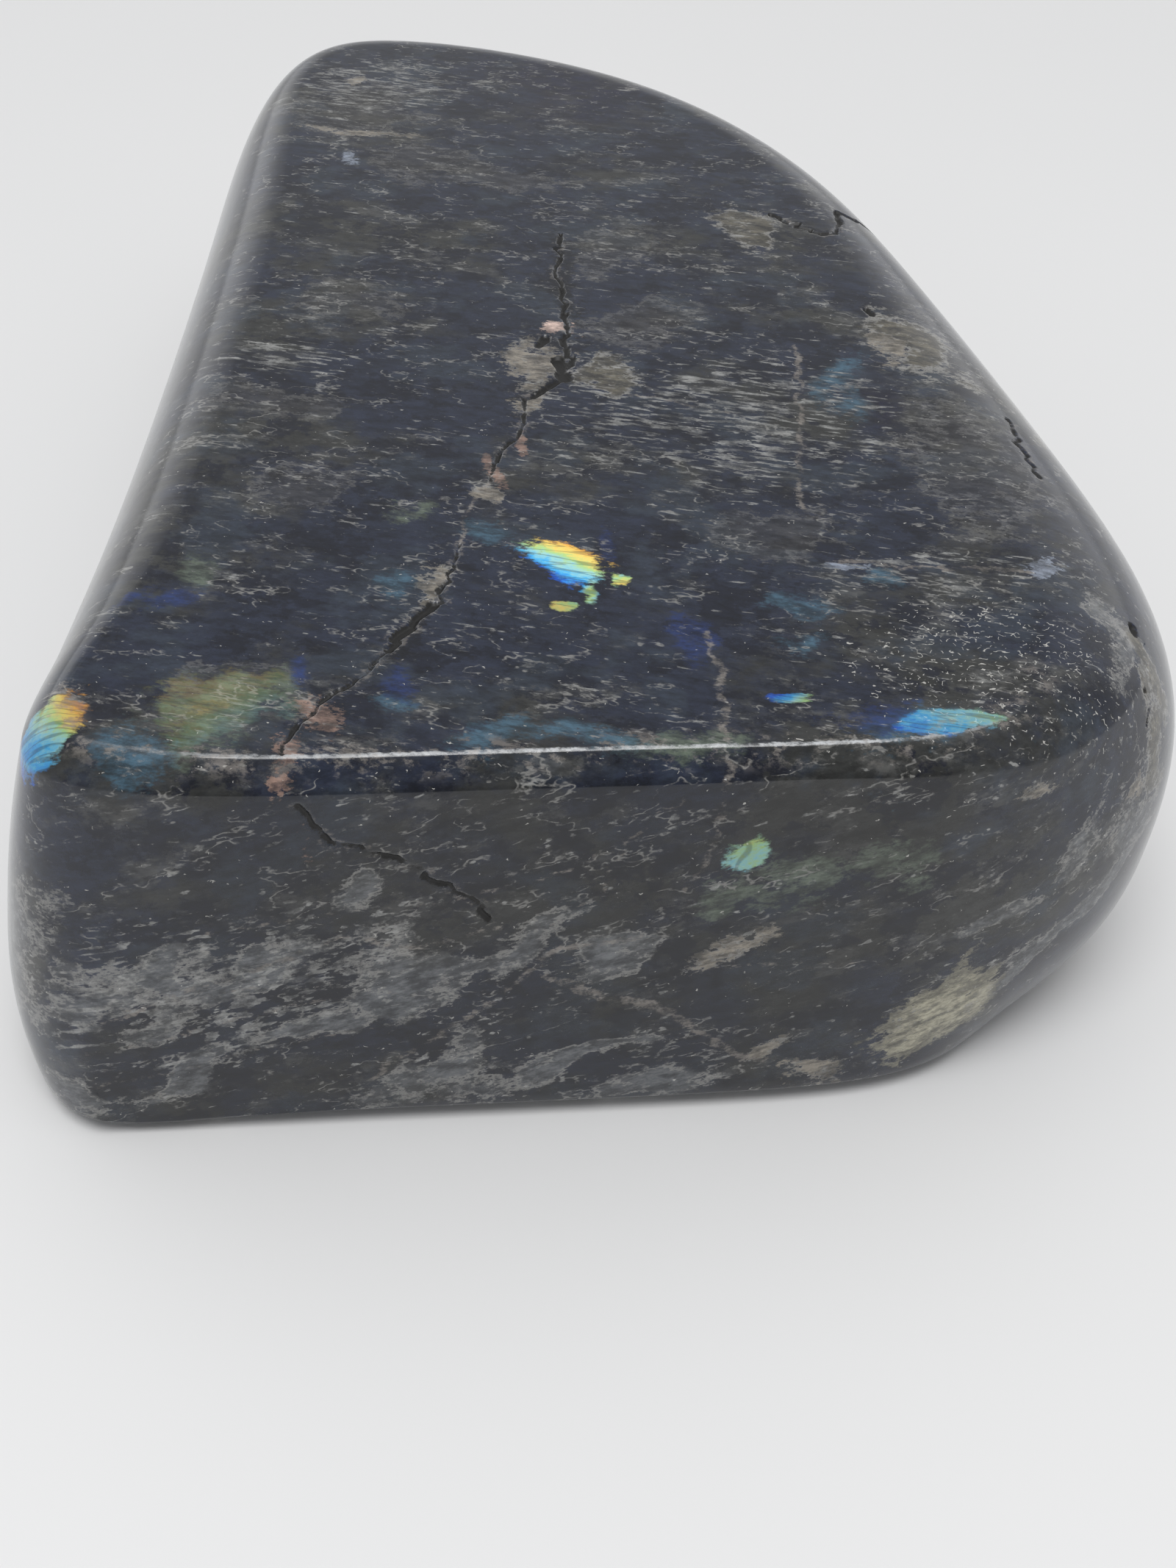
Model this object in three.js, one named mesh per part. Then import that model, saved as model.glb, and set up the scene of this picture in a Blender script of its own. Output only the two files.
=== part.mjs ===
// Polished labradorite freeform, lying on its flat back. Millimetres, +Z up.
// The sawn face it would stand on looks along -Y; its ground top face looks up.
import * as THREE from 'three';

// Overall
const THICKNESS = 61; // from the table to the top face above the start corner of the outline
const FALL_ACROSS = 0.5; // degrees the top face falls towards +X
const FALL_ALONG = 3.2; // degrees the top face falls towards +Y
const WIDEST_AT = 0.42; // height of the widest line, as a share of the thickness
const SQUARENESS = 2.5; // exponent of the flank rounding; 2 would be a plain ellipse
const SAWN_BEVEL = 3; // 45 degree bevel along both long edges of the sawn face
const BEVEL_STARTS = 0.6; // share of a half flank curve that is spent on the upright part

// Outline stations, counterclockwise seen from above: the control polygon of the widest line.
// x, y: place. lean: degrees the flank leans in as it rises. top, bottom: how far the
// rounding reaches in. sawn: 1 where the flank is the upright sawn face, 0 where it is round.
const STATIONS = [
  { x: 6, y: 0, lean: 0, top: 4, bottom: 4, sawn: 1 },
  { x: 36, y: 0, lean: 0, top: 4, bottom: 4, sawn: 1 },
  { x: 62, y: 0, lean: 0, top: 4, bottom: 4, sawn: 1 },
  { x: 91, y: 0, lean: -1, top: 6, bottom: 8, sawn: 1 },
  { x: 107, y: 4, lean: -4, top: 16, bottom: 18, sawn: 0.4 },
  { x: 123, y: 15, lean: -4, top: 25, bottom: 24, sawn: 0 },
  { x: 128, y: 40, lean: -1, top: 25, bottom: 23, sawn: 0 },
  { x: 122, y: 74, lean: 2, top: 21, bottom: 20, sawn: 0 },
  { x: 114, y: 111, lean: 4, top: 17, bottom: 17, sawn: 0 },
  { x: 104, y: 148, lean: 4, top: 14, bottom: 15, sawn: 0 },
  { x: 82, y: 181, lean: 4, top: 12, bottom: 13, sawn: 0 },
  { x: 51, y: 202, lean: 5, top: 12, bottom: 13, sawn: 0 },
  { x: 16, y: 211, lean: 7, top: 12, bottom: 12, sawn: 0 },
  { x: -1, y: 190, lean: 9, top: 12, bottom: 10, sawn: 0 },
  { x: -4, y: 148, lean: 11, top: 13, bottom: 9, sawn: 0 },
  { x: -8, y: 101, lean: 12, top: 14, bottom: 8, sawn: 0 },
  { x: -13, y: 54, lean: 13, top: 14, bottom: 8, sawn: 0 },
  { x: -19, y: 16, lean: 13, top: 12, bottom: 12, sawn: 0 },
  { x: -11, y: 0, lean: 8, top: 6, bottom: 13, sawn: 0.8 },
];

// The flank curves draw in towards a spine under the middle of the top face,
// so neighbouring curves keep clear of each other at the tight corners.
const SPINE_FRONT = new THREE.Vector2(56, 48);
const SPINE_BACK = new THREE.Vector2(44, 140);
const LEAST_FACING = 0.45; // keeps the inward step short where the spine is seen edge on

// Facets
const COLUMNS = 152; // round the outline, eight to a station
const HALF_ROWS = 10; // from the widest line to the top edge, and again to the bottom edge

const STONE_COLOUR = 0x24272d;

const rise = (degrees) => Math.tan(THREE.MathUtils.degToRad(degrees));
const topHeight = (x, y) => THICKNESS - rise(FALL_ACROSS) * x - rise(FALL_ALONG) * y;

// One value of the closed uniform cubic B-spline through a property of the stations.
function along(property, t) {
  const count = STATIONS.length;
  const i = Math.floor(t);
  const u = t - i;
  const weights = [
    (1 - u) ** 3,
    3 * u ** 3 - 6 * u ** 2 + 4,
    -3 * u ** 3 + 3 * u ** 2 + 3 * u + 1,
    u ** 3,
  ];
  let sum = 0;
  for (let k = 0; k < 4; k += 1) {
    sum += (weights[k] / 6) * STATIONS[(i + k - 1 + count) % count][property];
  }
  return sum;
}

// The widest line as columns, each with the step that carries a point one millimetre inwards.
function outlineColumns() {
  const columns = [];
  for (let c = 0; c < COLUMNS; c += 1) {
    const t = (c * STATIONS.length) / COLUMNS;
    columns.push({
      place: new THREE.Vector2(along('x', t), along('y', t)),
      lean: rise(along('lean', t)),
      top: along('top', t),
      bottom: along('bottom', t),
      sawn: along('sawn', t),
    });
  }
  const spine = SPINE_BACK.clone().sub(SPINE_FRONT);
  columns.forEach((column, c) => {
    const before = columns[(c + COLUMNS - 1) % COLUMNS].place;
    const after = columns[(c + 1) % COLUMNS].place;
    const tangent = after.clone().sub(before).normalize();
    const inward = new THREE.Vector2(-tangent.y, tangent.x);
    const share = column.place.clone().sub(SPINE_FRONT).dot(spine) / spine.lengthSq();
    const nearest = SPINE_FRONT.clone().addScaledVector(spine, THREE.MathUtils.clamp(share, 0, 1));
    const direction = nearest.sub(column.place).normalize();
    column.step = direction.divideScalar(Math.max(direction.dot(inward), LEAST_FACING));
  });
  return columns;
}

// A point of the flank: t runs from 0 at the widest line to 1 at the edge of the flat face.
// The round flank is a superellipse; the sawn flank goes straight up and then over the bevel.
function flankPoint(column, t, upper) {
  const middle = WIDEST_AT * THICKNESS;
  const reach = upper ? topHeight(column.place.x, column.place.y) - middle : middle;
  const angle = (t * Math.PI) / 2;
  const roundIn = 1 - Math.max(Math.cos(angle), 0) ** (2 / SQUARENESS);
  const roundUp = Math.sin(angle) ** (2 / SQUARENESS);
  const upright = Math.min(t / BEVEL_STARTS, 1);
  const overBevel = Math.max((t - BEVEL_STARTS) / (1 - BEVEL_STARTS), 0);
  const sawnUp = upright * (reach - SAWN_BEVEL) + overBevel * SAWN_BEVEL;

  const climb = THREE.MathUtils.lerp(reach * roundUp, sawnUp, column.sawn);
  const rounding = (upper ? column.top : column.bottom) * roundIn;
  const drawnIn = THREE.MathUtils.lerp(rounding, overBevel * SAWN_BEVEL, column.sawn);
  const leaning = (upper ? 1 : -1) * column.lean * climb;
  const plan = column.place.clone().addScaledVector(column.step, drawnIn + leaning);
  plan.y = Math.max(plan.y, 0); // nothing stands past the saw cut
  const z = upper
    ? middle + (climb / reach) * (topHeight(plan.x, plan.y) - middle)
    : middle - climb;
  return [plan.x, plan.y, z];
}

// Rings of points from the bottom edge over the widest line to the top edge.
function stonePoints(columns) {
  const points = [];
  for (let row = -HALF_ROWS; row <= HALF_ROWS; row += 1) {
    columns.forEach((column) => {
      points.push(...flankPoint(column, Math.abs(row) / HALF_ROWS, row >= 0));
    });
  }
  return points;
}

// Flank quads between the rings, and a flat face closing the first and the last ring.
function stoneFaces(points) {
  const index = [];
  for (let row = 0; row < 2 * HALF_ROWS; row += 1) {
    for (let c = 0; c < COLUMNS; c += 1) {
      const next = (c + 1) % COLUMNS;
      const low = row * COLUMNS;
      const high = low + COLUMNS;
      index.push(low + c, low + next, high + next);
      index.push(low + c, high + next, high + c);
    }
  }
  const lastRing = 2 * HALF_ROWS * COLUMNS;
  const edge = (first) => Array.from({ length: COLUMNS }, (_, c) => {
    const at = 3 * (first + c);
    return new THREE.Vector2(points[at], points[at + 1]);
  });
  THREE.ShapeUtils.triangulateShape(edge(lastRing), []).forEach(([a, b, c]) => {
    index.push(lastRing + a, lastRing + b, lastRing + c);
  });
  THREE.ShapeUtils.triangulateShape(edge(0), []).forEach(([a, b, c]) => {
    index.push(c, b, a);
  });
  return index;
}

function stoneGeometry() {
  const points = stonePoints(outlineColumns());
  const geometry = new THREE.BufferGeometry();
  geometry.setAttribute('position', new THREE.Float32BufferAttribute(points, 3));
  geometry.setIndex(stoneFaces(points));
  geometry.computeBoundingBox();
  const { min, max } = geometry.boundingBox;
  geometry.translate(-(min.x + max.x) / 2, -(min.y + max.y) / 2, -min.z);
  geometry.computeVertexNormals();
  return geometry;
}

const stone = new THREE.Mesh(
  stoneGeometry(),
  new THREE.MeshStandardMaterial({ color: STONE_COLOUR, roughness: 0.12, metalness: 0 }),
);
stone.name = 'stone';

const labradorite = new THREE.Group();
labradorite.name = 'labradorite';
labradorite.add(stone);

export default labradorite;
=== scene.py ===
# A polished labradorite freeform, lying on its flat back with the ground top face up.
import math

import bmesh
import bpy
import numpy as np
from mathutils import Euler, Matrix, Quaternion, Vector, geometry


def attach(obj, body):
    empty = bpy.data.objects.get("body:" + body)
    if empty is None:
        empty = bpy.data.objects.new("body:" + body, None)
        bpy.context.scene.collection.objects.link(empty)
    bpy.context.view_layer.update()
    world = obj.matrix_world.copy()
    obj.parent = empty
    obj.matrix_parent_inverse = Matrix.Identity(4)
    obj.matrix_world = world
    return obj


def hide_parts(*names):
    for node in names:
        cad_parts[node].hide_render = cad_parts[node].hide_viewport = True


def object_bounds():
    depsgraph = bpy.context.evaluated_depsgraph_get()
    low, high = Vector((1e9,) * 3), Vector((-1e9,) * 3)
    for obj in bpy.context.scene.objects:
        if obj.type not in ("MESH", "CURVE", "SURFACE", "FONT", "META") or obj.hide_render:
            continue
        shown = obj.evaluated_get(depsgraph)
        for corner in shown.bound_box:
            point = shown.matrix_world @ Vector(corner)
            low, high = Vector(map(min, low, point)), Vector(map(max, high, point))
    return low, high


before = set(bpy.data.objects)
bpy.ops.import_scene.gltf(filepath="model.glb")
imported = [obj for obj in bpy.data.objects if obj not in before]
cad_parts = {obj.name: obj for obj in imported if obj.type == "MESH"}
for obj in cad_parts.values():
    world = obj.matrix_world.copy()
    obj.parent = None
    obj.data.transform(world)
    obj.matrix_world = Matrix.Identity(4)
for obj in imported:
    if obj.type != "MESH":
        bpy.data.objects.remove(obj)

CAD_BOX = [list(corner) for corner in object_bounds()]
MM = 0.001  # sizes and places below are in millimetres, and meshes are made in metres

# The stone's form
THICKNESS = 61.0  # from the table to the top face above the start corner of the outline
FALL_ACROSS = math.tan(math.radians(0.5))  # the top face falls towards +X
FALL_ALONG = math.tan(math.radians(3.2))  # the top face falls towards +Y
WIDEST_AT = 0.42  # height of the widest line, as a share of the thickness
SQUARENESS = 2.5  # exponent of the flank rounding
SAWN_BEVEL = 3.0  # 45 degree bevel along both long edges of the sawn end
BEVEL_STARTS = 0.6  # share of a half flank curve that is spent on the upright part
SPINE_FRONT = np.array((56.0, 48.0))
SPINE_BACK = np.array((44.0, 140.0))
LEAST_FACING = 0.45  # keeps the inward step short where the spine is seen edge on
OUTLINE_MIDDLE = np.array((53.694, 103.639))  # where the row frame's origin lies in the outline's frame

# Outline stations, counterclockwise from above: x, y, lean in degrees, how far the top and the
# bottom rounding reach in, and 1 where the flank is the upright sawn end.
STATIONS = np.array((
    (6, 0, 0, 4, 4, 1),
    (36, 0, 0, 4, 4, 1),
    (62, 0, 0, 4, 4, 1),
    (91, 0, -1, 6, 8, 1),
    (107, 4, -4, 16, 18, 0.4),
    (123, 15, -4, 25, 24, 0),
    (128, 40, -1, 25, 23, 0),
    (122, 74, 2, 21, 20, 0),
    (114, 111, 4, 17, 17, 0),
    (104, 148, 4, 14, 15, 0),
    (82, 181, 4, 12, 13, 0),
    (51, 202, 5, 12, 13, 0),
    (16, 211, 7, 12, 12, 0),
    (-1, 190, 9, 12, 10, 0),
    (-4, 148, 11, 13, 9, 0),
    (-8, 101, 12, 14, 8, 0),
    (-13, 54, 13, 14, 8, 0),
    (-19, 16, 13, 12, 12, 0),
    (-11, 0, 8, 6, 13, 0.8),
), float)

# The fine mesh
COLUMNS_PER_STATION = 30
LOW_TURN = 0.35  # half length of the rounding where the sawn end meets its bevel
HIGH_TURN = 0.45  # the same where the bevel meets the flat face
TOP_SPACING = 1.2
BOTTOM_SPACING = 6.0
EDGE_GAP = 0.6  # least gap between a face's edge and its inner points, in spacings
RIDGE_SAWN = 0.35  # share of sawn flank from which the bevel's upper edge is the ridge

SAWN_Y = -OUTLINE_MIDDLE[1]  # the sawn end's plane in the row frame


def top_height(x, y):
    """Height of the flat top face over a place in the outline's frame."""
    return THICKNESS - FALL_ACROSS * x - FALL_ALONG * y


def top_z(x, y):
    """The same in the row frame."""
    return top_height(x + OUTLINE_MIDDLE[0], y + OUTLINE_MIDDLE[1])


class Outline:
    """The widest line as columns, each with the step that goes one millimetre in."""

    def __init__(self):
        count = COLUMNS_PER_STATION * len(STATIONS)
        t = np.arange(count) / COLUMNS_PER_STATION
        i = np.floor(t).astype(int)
        u = (t - i)[:, None]
        weights = ((1 - u) ** 3, 3 * u**3 - 6 * u**2 + 4, -3 * u**3 + 3 * u**2 + 3 * u + 1, u**3)
        rows = sum(w / 6 * STATIONS[(i + k - 1) % len(STATIONS)] for k, w in enumerate(weights))
        self.place = rows[:, :2]
        self.lean = np.tan(np.radians(rows[:, 2]))
        self.top, self.bottom, self.sawn = rows[:, 3], rows[:, 4], rows[:, 5]
        spine = SPINE_BACK - SPINE_FRONT
        share = np.clip((self.place - SPINE_FRONT) @ spine / (spine @ spine), 0, 1)
        direction = SPINE_FRONT + share[:, None] * spine - self.place
        direction /= np.linalg.norm(direction, axis=1)[:, None]
        tangent = np.roll(self.place, -1, 0) - np.roll(self.place, 1, 0)
        tangent /= np.linalg.norm(tangent, axis=1)[:, None]
        inward = np.stack((-tangent[:, 1], tangent[:, 0]), 1)
        facing = (direction * inward).sum(1)
        self.step = direction / np.maximum(facing, LEAST_FACING)[:, None]


def eased(distance, turn):
    """0 before a corner and the distance after it, with a parabola over the turn between them."""
    inside = np.clip(distance + turn, 0, 2 * turn) ** 2 / (4 * turn)
    return np.where(distance > turn, distance, inside)


def flank_ring(outline, t, upper):
    """The ring of points at share t of the half flank curves; past 1 it runs on over the flat face."""
    middle = WIDEST_AT * THICKNESS
    x, y = outline.place.T
    reach = top_height(x, y) - middle if upper else np.full(len(x), middle)
    angle = min(t, 1) * math.pi / 2
    round_in = 1 - max(math.cos(angle), 0) ** (2 / SQUARENESS)
    round_up = math.sin(angle) ** (2 / SQUARENESS)
    slope = math.sqrt(0.5)
    bevel_face = SAWN_BEVEL / slope
    over_bevel = (t - BEVEL_STARTS) / (1 - BEVEL_STARTS) * bevel_face
    upright = (t / BEVEL_STARTS - 1) * (reach - SAWN_BEVEL)
    along = np.where(t < BEVEL_STARTS, upright, over_bevel)
    low = eased(along, LOW_TURN)
    high = eased(along - bevel_face, HIGH_TURN)
    sawn_in = slope * low + (1 - slope) * high
    sawn_up = reach - SAWN_BEVEL + along - (1 - slope) * low - slope * high
    past_edge = max(t - 1, 0) / (1 - BEVEL_STARTS) * bevel_face

    climb = reach * round_up + outline.sawn * (sawn_up - reach * round_up)
    rounding = (outline.top if upper else outline.bottom) * round_in + past_edge
    drawn_in = rounding + outline.sawn * (sawn_in - rounding)
    leaning = (1 if upper else -1) * outline.lean * climb
    plan = outline.place + outline.step * (drawn_in + leaning)[:, None]
    plan[:, 1] = np.maximum(plan[:, 1], 0)  # nothing stands past the saw cut
    if upper:
        z = middle + climb / reach * (top_height(plan[:, 0], plan[:, 1]) - middle)
    else:
        z = middle - climb
    return np.column_stack((plan - OUTLINE_MIDDLE, z))


def profile_steps():
    """Shares of a half flank curve, close together where the sawn end turns over its bevel."""
    bevel_face = SAWN_BEVEL * math.sqrt(2)
    per_mm = (1 - BEVEL_STARTS) / bevel_face
    low_start = BEVEL_STARTS - LOW_TURN * BEVEL_STARTS / (0.5 * THICKNESS)
    low_end = BEVEL_STARTS + LOW_TURN * per_mm
    high_start = 1 - HIGH_TURN * per_mm
    high_end = 1 + HIGH_TURN * per_mm
    return np.concatenate((
        low_start * np.linspace(0, 1, 17) ** 1.25,
        np.linspace(low_start, low_end, 6)[1:],
        np.linspace(low_end, high_start, 9)[1:],
        np.linspace(high_start, high_end, 10)[1:],
    ))


def face_grid(edge, spacing):
    """Places in even triangles over the inside of a closed edge, clear of the edge."""
    low, high = edge.min(0), edge.max(0)
    rows = np.arange(low[1], high[1], spacing * math.sqrt(0.75))
    grid = []
    for k, y in enumerate(rows):
        xs = np.arange(low[0] + (k % 2) * spacing / 2, high[0], spacing)
        grid.append(np.column_stack((xs, np.full(len(xs), y))))
    grid = np.concatenate(grid)
    after = np.roll(edge, -1, 0)
    crossings = np.zeros(len(grid), int)
    for a, b in zip(edge, after):
        spans = (a[1] > grid[:, 1]) != (b[1] > grid[:, 1])
        rise = b[1] - a[1] if b[1] != a[1] else 1
        x = a[0] + (grid[:, 1] - a[1]) / rise * (b[0] - a[0])
        crossings += spans & (grid[:, 0] < x)
    gap = np.full(len(grid), np.inf)
    for a in edge:
        gap = np.minimum(gap, np.hypot(*(grid - a).T))
    return grid[(crossings % 2 == 1) & (gap > EDGE_GAP * spacing)]


def close_face(points, faces, first, ring, height, spacing, upper):
    """Fills a ring of points, already in the list from first on, with a flat face."""
    edge = ring[:, :2]
    inside = face_grid(edge, spacing)
    flat = [Vector(p) for p in np.concatenate((edge, inside))]
    order = list(range(len(edge)))
    made = geometry.delaunay_2d_cdt(flat, [], [order], 1, 1e-5)
    start = len(points)
    points.extend((x, y, height(x, y)) for x, y in inside)
    number = [first + k if k < len(edge) else start + k - len(edge) for k in range(len(flat))]
    origin = [number[names[0]] for names in made[3]]
    for a, b, c in made[2]:
        corners = (origin[a], origin[b], origin[c])
        faces.append(corners if upper else corners[::-1])


def stone_surface():
    """Points and faces of the whole stone, before its cracks, and the line of the ridge."""
    outline = Outline()
    steps = profile_steps()
    rings = [flank_ring(outline, t, False) for t in steps[:0:-1]]
    rings += [flank_ring(outline, t, True) for t in steps]
    count = len(outline.place)
    points = [tuple(p) for ring in rings for p in ring]
    faces = []
    for row in range(len(rings) - 1):
        for c in range(count):
            after = (c + 1) % count
            low, high = row * count, (row + 1) * count
            faces.append((low + c, low + after, high + after, high + c))
    close_face(points, faces, 0, rings[0], lambda x, y: 0.0, BOTTOM_SPACING, False)
    last = (len(rings) - 1) * count
    close_face(points, faces, last, rings[-1], top_z, TOP_SPACING, True)
    ridge = flank_ring(outline, 1.0, True)[outline.sawn > RIDGE_SAWN]
    ridge = ridge[np.argsort(ridge[:, 0])]
    return np.array(points), faces, ridge


# Cracks and seams: half width, and the points it runs through. On the top face a point is its x and
# y, on the sawn end its x and z, and on a flank all three.
def on_top(*places):
    return [(x, y, top_z(x, y)) for x, y in places]


def on_end(*places):
    return [(x, SAWN_Y, z) for x, z in places]


CRACKS = [
    (0.22, on_top((0.7, 14.9), (-0.2, 0.8), (0.3, -8.9))),
    (0.35, on_top((0.3, -8.9), (-0.3, -17.8), (0.3, -23.1), (-1.1, -26.7), (-3.8, -29.8), (-6.1, -31.5))),
    (0.16, on_top((-6.1, -31.5), (-6.4, -35.7), (-7, -39.7), (-8.5, -42.2), (-10.4, -46.7), (-10.8, -50.5))),
    (0.1, on_top((-14.7, -63.8), (-15.9, -71))),
    (0.2, on_top((-15.9, -71), (-17.7, -75.4))),
    (0.5, on_top((-17.7, -75.4), (-19.7, -78), (-22, -81.4), (-22.6, -83.4))),
    (0.12, on_top((-22.6, -83.4), (-23.8, -85.3), (-26.4, -89.1))),
    (0.16, on_top((-26.4, -89.1), (-29.8, -92.2), (-31.7, -95.3), (-32.7, -98), (-33.1, -100.1))),
    (0.28, on_end((-31.8, 56.3), (-30.6, 53.5), (-29, 50.6), (-25.9, 49.9))),
    (0.24, on_end((-25.9, 49.9), (-22.1, 48), (-19.5, 44.8), (-16.8, 43.4), (-12.9, 37.6))),
    (0.9, on_top((-3.8, -17.8), (-2.8, -15.5))),
    (0.8, on_top((-1.4, -21.8), (-0.6, -26.5))),
    (0.32, [(32.6, 20.1, 53.3), (34.8, 17.3, 53.5), (39.4, 13.5, 53.6), (41.5, 13.8, 53.5), (43, 22, 52.5),
            (47.2, 21.2, 50.5), (50.5, 18.2, 46.8), (52.8, 18.7, 42)]),
    (0.5, [(61.8, -78.6, 54.9), (61.6, -79.5, 54.7)]),
    (0.18, [(61.1, -87.3, 53.1), (61.2, -90, 50.5)]),
    (0.4, [(42.1, -9.5, 54.9), (42.8, -11.2, 55)]),
    (0.14, [(56.3, -36.5, 54.6), (56.8, -45.8, 55.5), (57.2, -51, 55.9)]),
]

SEAMS = [
    (0.1, on_top((3, -29.3), (12, -32.6), (21, -36.3))),
    (0.28, on_top((28, -69.3), (39, -70.6), (51, -72.3))),
    (0.14, on_top((-10.8, -50.5), (-13.4, -56.3), (-14.7, -63.8))),
    (0.3, on_top((30.7, -19.3), (30.5, -25.1), (29.6, -35), (27.9, -45.6), (26.4, -54.4), (26.5, -57.9))),
    (0.35, on_top((12.3, -81.9), (13, -87.1), (13.1, -90.7), (12.9, -95.8), (12.7, -99.9))),
    (0.3, [(12.5, -101.8, 59.4), (12.3, -103.5, 57.6), (12.1, SAWN_Y, 52.3), (11, SAWN_Y, 46.5),
           (8.6, SAWN_Y, 41.1)]),
    (0.3, on_end((-27.8, 9), (-22.6, 14.4), (-15.6, 20.4), (-9, 27.6), (-5.1, 32.1), (4.1, 33.5))),
    (0.55, on_end((-6.8, 27.4), (-0.5, 23.1), (5.8, 21.2), (9.5, 17.7), (16, 10.9), (19.7, 9.2))),
    (0.25, on_end((-65, 17.6), (-47.1, 27.3), (-38.3, 30.8), (-29.5, 35.5), (-21.5, 33.2), (-11.6, 36.1))),
    (0.3, [(-63, -60, 50), (-66.5, -57, 38), (-67, -52, 24), (-64, -49, 10)]),
    (0.3, [(-58, 30, 44), (-60.5, 33, 30), (-58, 38, 12)]),
    (0.3, [(62, -10, 42), (66, -14, 28), (64, -17, 12)]),
    (0.3, [(20, 92, 38), (22, 95, 26), (19, 93, 10)]),
    (0.12, on_end((-66, 20), (-52, 25), (-40, 27.4), (-31, 27))),
    (0.12, on_end((-66, 14), (-50, 19), (-36, 24), (-24, 25.5))),
    (0.12, on_end((-64, 9), (-48, 13), (-38, 17), (-27, 19))),
    (0.1, on_end((-60, 32), (-47, 36), (-30, 39.5), (-15, 41))),
    (0.12, on_end((-14, 42), (-4, 45), (3, 50), (8, 55.6))),
    (0.1, on_end((-6, 36), (0, 42), (2, 49))),
    (0.12, [(42, -101.6, 26), (50, -99.6, 31), (58, -96, 38), (63, -91, 44)]),
    (0.12, [(44, -100.6, 19), (52, -98.6, 23), (60, -95, 30)]),
    (0.18, on_end((9.5, 27.8), (18.4, 27.8), (25.2, 27.4), (32.2, 26.1))),
]

GRAIN = (0, -math.radians(17), -math.radians(15))  # turn of the grain, which climbs towards +X and -Y


def top_patch(x, y, length, width, turn=0.0, deep=9.0):
    """Place, turn and half sizes of a patch of colour on the top face."""
    return (x, y, top_z(x, y)), (0, 0, math.radians(turn)), (length, width, deep)


def end_patch(x, z, length, width, rise=0.0, deep=6.0, y=SAWN_Y):
    """The same on the sawn end: rise turns it up to the right."""
    return (x, y, z), (0, -math.radians(rise), 0), (length, deep, width)


def flank_patch(x, y, z, heading, length, height, deep=8.0):
    """The same on a flank whose length runs that many degrees from +X."""
    return (x, y, z), (0, 0, math.radians(heading)), (length, deep, height)


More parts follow.
